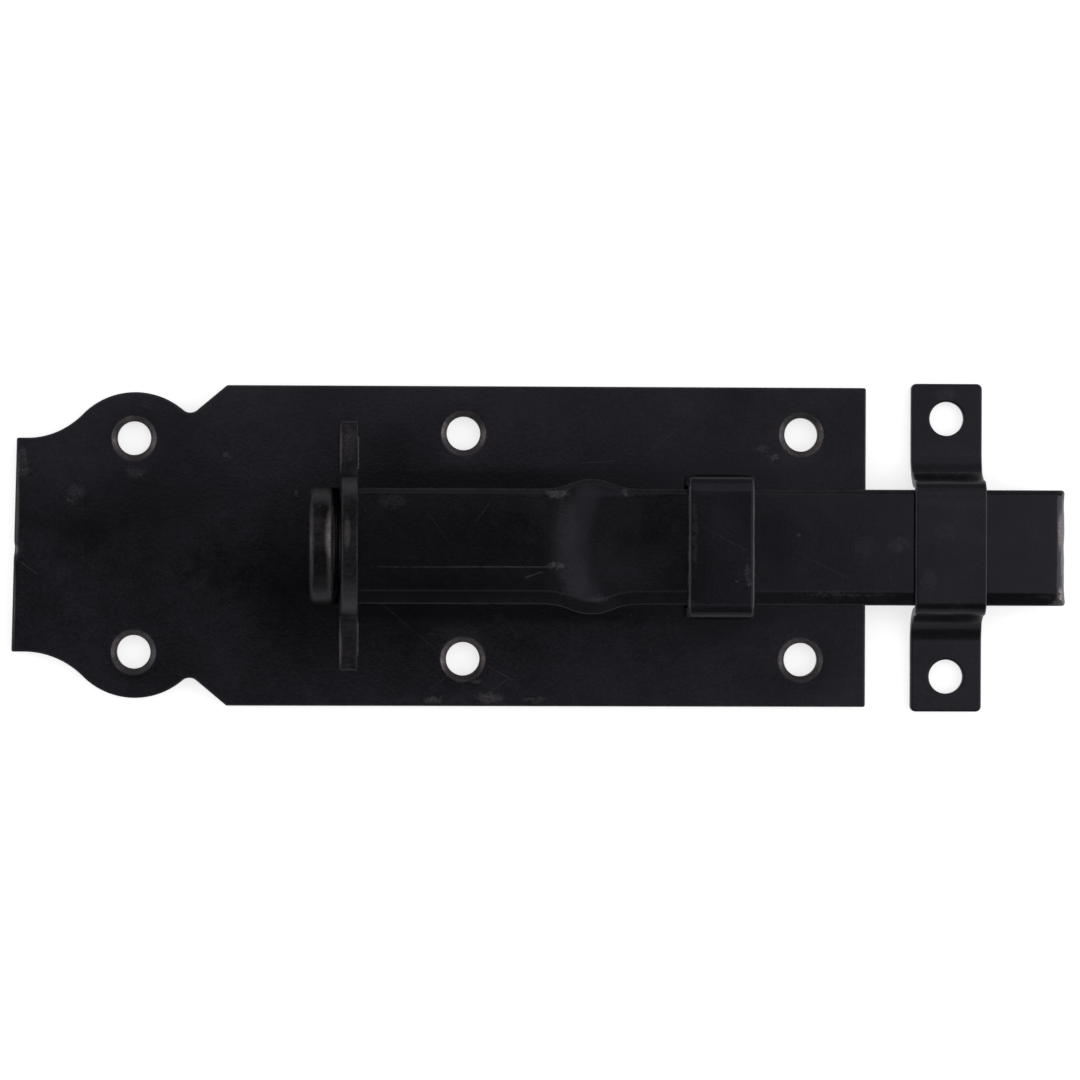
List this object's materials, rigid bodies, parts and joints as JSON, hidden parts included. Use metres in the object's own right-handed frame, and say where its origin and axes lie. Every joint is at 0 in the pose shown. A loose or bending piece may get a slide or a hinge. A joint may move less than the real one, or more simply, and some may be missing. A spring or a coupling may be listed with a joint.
{
  "type": "padlockable slide bolt",
  "caption": "Flat slide bolt on a screwed plate with a shaped end: a staple and a turned-up lug take a padlock, a guide loop and a stop bulge limit the throw into a separate strap keeper.",
  "frame": {"origin": "centre of the plate's back face, which lies on the door", "axes": "+X the way the bolt is thrown, along the plate; +Z out of the door; +Y across the plate, so that the frame is right-handed"},
  "size_m": [0.1973, 0.0618, 0.0286],
  "materials": {
    "plate_finish": "satin black over steel, lightly scuffed",
    "bolt_finish": "satin black over steel, rubbed on the edges",
    "staple_finish": "satin black over sheared steel",
    "guide_finish": "satin black over steel",
    "keeper_finish": "satin black over steel"
  },
  "bodies": {
    "plate": {"base_plate": "plate_finish", "staple": "staple_finish", "guide_loop": "guide_finish"},
    "bolt": {"bolt": "bolt_finish", "bolt_lug": "bolt_finish"},
    "keeper": {"keeper": "keeper_finish"}
  },
  "joints": [
    {"name": "bolt_slide", "type": "slide", "parent": "plate", "child": "bolt", "axis": [1, 0, 0], "range_m": [-0.0382, 0.0003]},
    {"name": "keeper_slide", "type": "slide", "parent": "plate", "child": "keeper", "axis": [1, 0, 0], "range_m": [-0.008, 0.035]}
  ]
}
